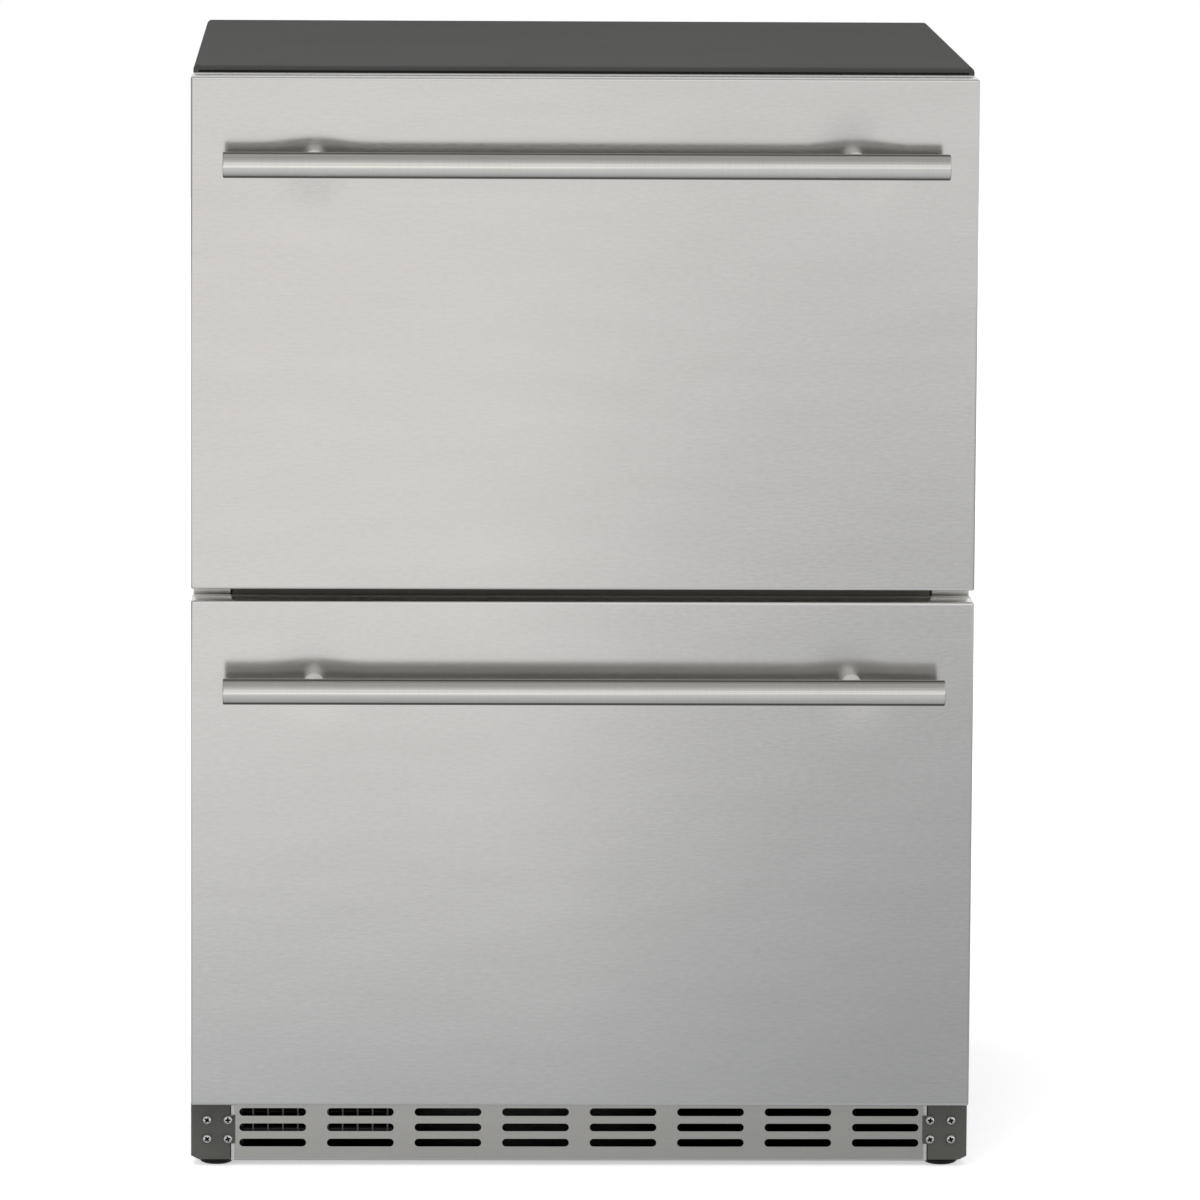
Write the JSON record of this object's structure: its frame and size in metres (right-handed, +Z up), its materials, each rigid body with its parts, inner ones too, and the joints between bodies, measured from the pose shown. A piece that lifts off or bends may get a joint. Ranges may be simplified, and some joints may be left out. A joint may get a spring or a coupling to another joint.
{
  "type": "undercounter drawer refrigerator",
  "caption": "Undercounter refrigerator with stacked stainless drawers that slide out on telescopic runners, bar handles, a slotted kick grille and levelling legs.",
  "frame": {"origin": "on the floor, under the middle of the object's box", "axes": "+Z up, -Y out of the doors towards the user, +X to the user's right when facing the doors"},
  "size_m": [0.607, 0.6729, 0.86],
  "materials": {
    "shell_paint": "satin dark grey paint",
    "frame_steel": "fine brushed",
    "mullion_plastic": "matte",
    "grille_steel": "satin",
    "bracket_paint": "satin dark grey paint",
    "screw_steel": "zinc plated, satin",
    "zinc_sheet": "galvanised sheet",
    "insulation": "rigid foam with a skin",
    "liner_plastic": "vacuum-formed, semi-gloss",
    "black_enamel": "semi-gloss enamel",
    "black_plastic": "matte",
    "grey_plastic": "matte",
    "coil_aluminium": "mill finish",
    "line_copper": "bare copper tube",
    "lens_plastic": "frosted",
    "button_plastic": "matte",
    "door_steel": "brushed side to side",
    "door_plastic": "light, fine textured",
    "gasket_rubber": "matte magnetic gasket",
    "handle_steel": "brushed round the bar",
    "bin_steel": "satin sheet",
    "runner_zinc": "bright zinc plated"
  },
  "bodies": {
    "cabinet": {"cabinet_wrapper": "shell_paint", "front_frame": "frame_steel", "center_mullion": "mullion_plastic", "rear_panel": "zinc_sheet", "machine_room_cover": "zinc_sheet", "base_pan": "zinc_sheet", "cabinet_foam": "insulation", "inner_liner": "liner_plastic", "kick_grille": "grille_steel", "foot_bracket_left": "bracket_paint", "foot_bracket_right": "bracket_paint", "bracket_screw_left_1": "screw_steel", "bracket_screw_left_2": "screw_steel", "bracket_screw_left_3": "screw_steel", "bracket_screw_left_4": "screw_steel", "bracket_screw_right_1": "screw_steel", "bracket_screw_right_2": "screw_steel", "bracket_screw_right_3": "screw_steel", "bracket_screw_right_4": "screw_steel", "compressor": "black_enamel", "condenser_coil": "black_enamel", "condenser_fan_motor": "zinc_sheet", "drain_pan": "grey_plastic", "mains_gland": "black_plastic", "refrigerant_line": "line_copper", "evaporator_coil": "coil_aluminium", "evaporator_fan_motor": "grey_plastic", "evaporator_cover": "liner_plastic", "control_housing": "grey_plastic", "light_lens": "lens_plastic", "upper_runner_outer_left": "runner_zinc", "upper_runner_outer_right": "runner_zinc", "lower_runner_outer_left": "runner_zinc", "lower_runner_outer_right": "runner_zinc"},
    "upper_drawer": {"upper_door_skin": "door_steel", "upper_door_core": "door_plastic", "upper_door_gasket": "gasket_rubber", "upper_handle": "handle_steel", "upper_bin": "bin_steel", "upper_runner_inner_left": "runner_zinc", "upper_runner_inner_right": "runner_zinc"},
    "upper_middle_runners": {"upper_runner_middle_left": "runner_zinc", "upper_runner_middle_right": "runner_zinc"},
    "lower_drawer": {"lower_door_skin": "door_steel", "lower_door_core": "door_plastic", "lower_door_gasket": "gasket_rubber", "lower_handle": "handle_steel", "lower_bin": "bin_steel", "lower_runner_inner_left": "runner_zinc", "lower_runner_inner_right": "runner_zinc"},
    "lower_middle_runners": {"lower_runner_middle_left": "runner_zinc", "lower_runner_middle_right": "runner_zinc"},
    "condenser_fan": {"condenser_fan_blade": "black_plastic"},
    "evaporator_fan": {"evaporator_fan_blade": "black_plastic"},
    "button_1": {"control_button_1": "button_plastic"},
    "button_2": {"control_button_2": "button_plastic"},
    "leg_front_left": {"leveling_leg_front_left": "black_plastic"},
    "leg_front_right": {"leveling_leg_front_right": "black_plastic"},
    "leg_rear_left": {"leveling_leg_rear_left": "black_plastic"},
    "leg_rear_right": {"leveling_leg_rear_right": "black_plastic"}
  },
  "joints": [
    {"name": "upper_drawer_slide", "type": "slide", "parent": "cabinet", "child": "upper_drawer", "axis": [0, -1, 0], "range_m": [0, 0.4]},
    {"name": "lower_drawer_slide", "type": "slide", "parent": "cabinet", "child": "lower_drawer", "axis": [0, -1, 0], "range_m": [0, 0.24]},
    {"name": "upper_runner_slide", "type": "slide", "parent": "cabinet", "child": "upper_middle_runners", "axis": [0, -1, 0], "range_m": [0, 0.2]},
    {"name": "lower_runner_slide", "type": "slide", "parent": "cabinet", "child": "lower_middle_runners", "axis": [0, -1, 0], "range_m": [0, 0.12]},
    {"name": "condenser_fan_spin", "type": "hinge", "parent": "cabinet", "child": "condenser_fan", "pos_m": [-0.15, 0.161, 0.12], "axis": [0, 1, 0], "continuous": true},
    {"name": "evaporator_fan_spin", "type": "hinge", "parent": "cabinet", "child": "evaporator_fan", "pos_m": [0, 0.266, 0.735], "axis": [0, 1, 0], "continuous": true},
    {"name": "button_1_press", "type": "slide", "parent": "cabinet", "child": "button_1", "axis": [0, 0, 1], "range_m": [0, 0.001], "stiffness_N_per_m": 600, "springref_m": -0.001},
    {"name": "button_2_press", "type": "slide", "parent": "cabinet", "child": "button_2", "axis": [0, 0, 1], "range_m": [0, 0.001], "stiffness_N_per_m": 600, "springref_m": -0.001},
    {"name": "leg_front_left_screw", "type": "slide", "parent": "cabinet", "child": "leg_front_left", "axis": [0, 0, -1], "range_m": [0, 0.025]},
    {"name": "leg_front_right_screw", "type": "slide", "parent": "cabinet", "child": "leg_front_right", "axis": [0, 0, -1], "range_m": [0, 0.025]},
    {"name": "leg_rear_left_screw", "type": "slide", "parent": "cabinet", "child": "leg_rear_left", "axis": [0, 0, -1], "range_m": [0, 0.025]},
    {"name": "leg_rear_right_screw", "type": "slide", "parent": "cabinet", "child": "leg_rear_right", "axis": [0, 0, -1], "range_m": [0, 0.025]}
  ],
  "couplings": [
    {"joint": "upper_runner_slide", "follows": "upper_drawer_slide", "ratio": 0.5},
    {"joint": "lower_runner_slide", "follows": "lower_drawer_slide", "ratio": 0.5}
  ]
}
